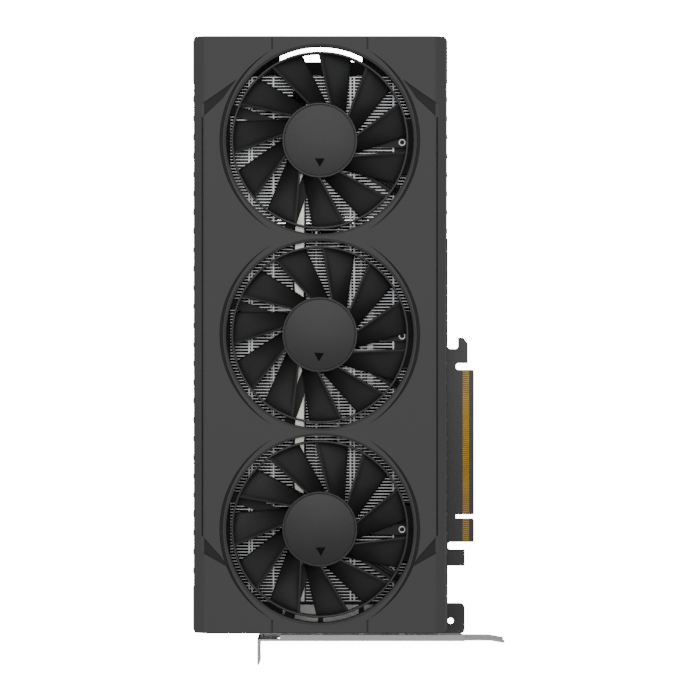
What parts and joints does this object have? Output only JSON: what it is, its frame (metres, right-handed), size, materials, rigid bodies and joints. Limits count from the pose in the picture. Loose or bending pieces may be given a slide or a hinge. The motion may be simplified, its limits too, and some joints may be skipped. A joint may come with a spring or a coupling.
{
  "type": "graphics card",
  "caption": "Full-length graphics card: boxed grey shroud with a row of hooped axial fans over a finned heat-pipe cooler, edge connector and two-slot bracket.",
  "frame": {"origin": "centre of the overall box in plan, on the outer face of the backplate", "axes": "+Z out of the fans, +Y towards the tail, +X towards the edge connector"},
  "size_m": [0.1518, 0.304, 0.048],
  "materials": {
    "shroud_plastic": "fine textured dark grey",
    "fan_plastic": "smooth satin near-black",
    "frame_plastic": "satin black",
    "backplate_paint": "satin black",
    "solder_mask": "semi-gloss black",
    "gold": "polished",
    "bracket_steel": "bright",
    "connector_steel": "bright tinned",
    "connector_plastic": "satin black",
    "pin_metal": "plated",
    "screw_steel": "zinc plated",
    "fin_aluminium": "rolled sheet",
    "nickel": "nickel plated copper",
    "frame_aluminium": "satin",
    "chip_epoxy": "matte moulded",
    "ferrite": "matte sintered grey",
    "capacitor_can": "satin",
    "silicon": "polished",
    "package_resin": "dark green",
    "thermal_pad": "soft grey",
    "cable_sleeve": "satin black",
    "winding_copper": "enamelled copper",
    "magnet": "bonded ferrite",
    "bearing_bronze": "sintered",
    "badge_lacquer": "glossy black"
  },
  "bodies": {
    "card": {"backplate": "backplate_paint", "backplate_screws": "screw_steel", "bracket_screws": "screw_steel", "circuit_board": "solder_mask", "clamp_screws": "screw_steel", "cold_plate": "nickel", "cooler_frame": "frame_aluminium", "displayport_shell_1": "connector_steel", "displayport_shell_2": "connector_steel", "displayport_shell_3": "connector_steel", "edge_contacts": "gold", "fan_1_bearing_bush": "bearing_bronze", "fan_1_cable": "cable_sleeve", "fan_1_spider": "frame_plastic", "fan_1_stator": "winding_copper", "fan_2_bearing_bush": "bearing_bronze", "fan_2_cable": "cable_sleeve", "fan_2_spider": "frame_plastic", "fan_2_stator": "winding_copper", "fan_3_bearing_bush": "bearing_bronze", "fan_3_cable": "cable_sleeve", "fan_3_spider": "frame_plastic", "fan_3_stator": "winding_copper", "fan_arm_screws": "screw_steel", "fan_mount_screws": "screw_steel", "fan_mounts": "frame_plastic", "fan_plugs": "connector_plastic", "fin_block_1": "fin_aluminium", "fin_block_2": "fin_aluminium", "fin_block_3": "fin_aluminium", "hdmi_shell_4": "connector_steel", "heat_pipes": "nickel", "io_bracket": "bracket_steel", "memory_chips": "chip_epoxy", "polymer_capacitors": "capacitor_can", "port_tongues": "connector_plastic", "power_chokes": "ferrite", "power_connector_1": "connector_plastic", "power_connector_2": "connector_plastic", "power_pins": "pin_metal", "power_stages": "chip_epoxy", "processor_die": "silicon", "processor_package": "package_resin", "shroud": "shroud_plastic", "spring_clamp": "bracket_steel", "thermal_pads": "thermal_pad", "top_heat_pipe": "nickel"},
    "fan_1_rotating": {"fan_1_rotor": "fan_plastic", "fan_1_hub_badge": "badge_lacquer", "fan_1_shaft": "screw_steel", "fan_1_magnet_ring": "magnet"},
    "fan_2_rotating": {"fan_2_rotor": "fan_plastic", "fan_2_hub_badge": "badge_lacquer", "fan_2_shaft": "screw_steel", "fan_2_magnet_ring": "magnet"},
    "fan_3_rotating": {"fan_3_rotor": "fan_plastic", "fan_3_hub_badge": "badge_lacquer", "fan_3_shaft": "screw_steel", "fan_3_magnet_ring": "magnet"}
  },
  "joints": [
    {"name": "fan_1_spin", "type": "hinge", "parent": "card", "child": "fan_1_rotating", "pos_m": [-0.01373, 0.10182, 0.0464], "axis": [0, 0, 1], "continuous": true},
    {"name": "fan_2_spin", "type": "hinge", "parent": "card", "child": "fan_2_rotating", "pos_m": [-0.01373, 0.00792, 0.0464], "axis": [0, 0, 1], "continuous": true},
    {"name": "fan_3_spin", "type": "hinge", "parent": "card", "child": "fan_3_rotating", "pos_m": [-0.01373, -0.08599, 0.0464], "axis": [0, 0, 1], "continuous": true}
  ]
}
